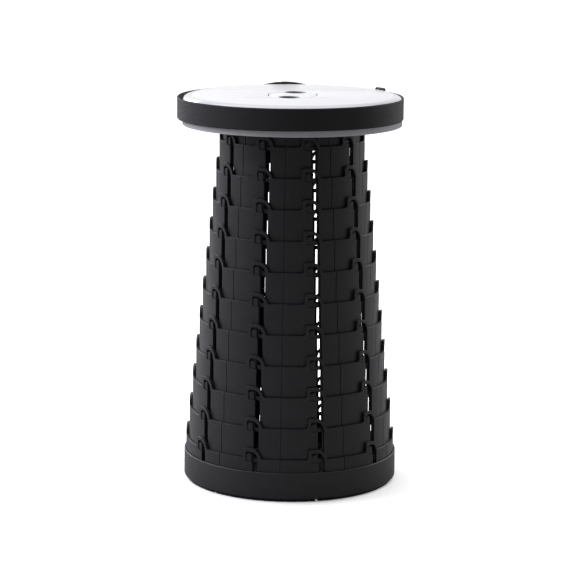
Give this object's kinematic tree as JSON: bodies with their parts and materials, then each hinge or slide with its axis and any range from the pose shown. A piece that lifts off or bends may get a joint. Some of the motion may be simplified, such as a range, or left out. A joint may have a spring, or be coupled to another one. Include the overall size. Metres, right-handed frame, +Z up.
{
  "type": "telescoping camp stool",
  "caption": "Round telescoping camp stool: nested plastic rings slide down into a flat base under a disc seat with a webbing carry strap and a finger grip.",
  "frame": {"origin": "middle of the base, on the ground", "axes": "+Z up through the middle of the rings, -Y towards the front"},
  "size_m": [0.2578, 0.2633, 0.4532],
  "materials": {
    "ring_plastic": "satin moulded black",
    "base_plastic": "satin moulded black",
    "pad_rubber": "matte black",
    "white_plastic": "gloss white",
    "silver_plastic": "gloss pale grey",
    "dark_plastic": "satin black",
    "webbing": "black ribbed webbing",
    "screw_steel": "zinc plated"
  },
  "bodies": {
    "base": {"base_tray": "base_plastic", "ring_11": "ring_plastic", "foot_pad_1": "pad_rubber", "foot_pad_2": "pad_rubber", "foot_pad_3": "pad_rubber", "foot_pad_4": "pad_rubber", "foot_pad_5": "pad_rubber", "foot_pad_6": "pad_rubber", "base_screw_1": "screw_steel", "base_screw_2": "screw_steel", "base_screw_3": "screw_steel", "base_screw_4": "screw_steel", "base_screw_5": "screw_steel"},
    "ring_10": {"ring_10": "ring_plastic"},
    "ring_09": {"ring_09": "ring_plastic"},
    "ring_08": {"ring_08": "ring_plastic"},
    "ring_07": {"ring_07": "ring_plastic"},
    "ring_06": {"ring_06": "ring_plastic"},
    "ring_05": {"ring_05": "ring_plastic"},
    "ring_04": {"ring_04": "ring_plastic"},
    "ring_03": {"ring_03": "ring_plastic"},
    "ring_02": {"ring_02": "ring_plastic"},
    "ring_01": {"ring_01": "ring_plastic"},
    "seat": {"ring_00": "ring_plastic", "seat_cap": "silver_plastic", "seat_trim": "silver_plastic", "seat_panel": "white_plastic", "grip_plate": "white_plastic", "grip_cup": "dark_plastic", "seat_screw_1": "screw_steel", "seat_screw_2": "screw_steel", "seat_screw_3": "screw_steel", "seat_screw_4": "screw_steel", "seat_screw_5": "screw_steel", "strap_band": "webbing", "buckle_socket": "dark_plastic", "buckle_plug": "dark_plastic", "strap_slider": "dark_plastic"}
  },
  "joints": [
    {"name": "ring_10_drop", "type": "slide", "parent": "base", "child": "ring_10", "axis": [0, 0, -1], "range_m": [0, 0.0352]},
    {"name": "ring_09_drop", "type": "slide", "parent": "ring_10", "child": "ring_09", "axis": [0, 0, -1], "range_m": [0, 0.0352]},
    {"name": "ring_08_drop", "type": "slide", "parent": "ring_09", "child": "ring_08", "axis": [0, 0, -1], "range_m": [0, 0.0352]},
    {"name": "ring_07_drop", "type": "slide", "parent": "ring_08", "child": "ring_07", "axis": [0, 0, -1], "range_m": [0, 0.0352]},
    {"name": "ring_06_drop", "type": "slide", "parent": "ring_07", "child": "ring_06", "axis": [0, 0, -1], "range_m": [0, 0.0352]},
    {"name": "ring_05_drop", "type": "slide", "parent": "ring_06", "child": "ring_05", "axis": [0, 0, -1], "range_m": [0, 0.0352]},
    {"name": "ring_04_drop", "type": "slide", "parent": "ring_05", "child": "ring_04", "axis": [0, 0, -1], "range_m": [0, 0.0352]},
    {"name": "ring_03_drop", "type": "slide", "parent": "ring_04", "child": "ring_03", "axis": [0, 0, -1], "range_m": [0, 0.0352]},
    {"name": "ring_02_drop", "type": "slide", "parent": "ring_03", "child": "ring_02", "axis": [0, 0, -1], "range_m": [0, 0.0352]},
    {"name": "ring_01_drop", "type": "slide", "parent": "ring_02", "child": "ring_01", "axis": [0, 0, -1], "range_m": [0, 0.0352]},
    {"name": "seat_drop", "type": "slide", "parent": "ring_01", "child": "seat", "axis": [0, 0, -1], "range_m": [0, 0.0352]}
  ]
}
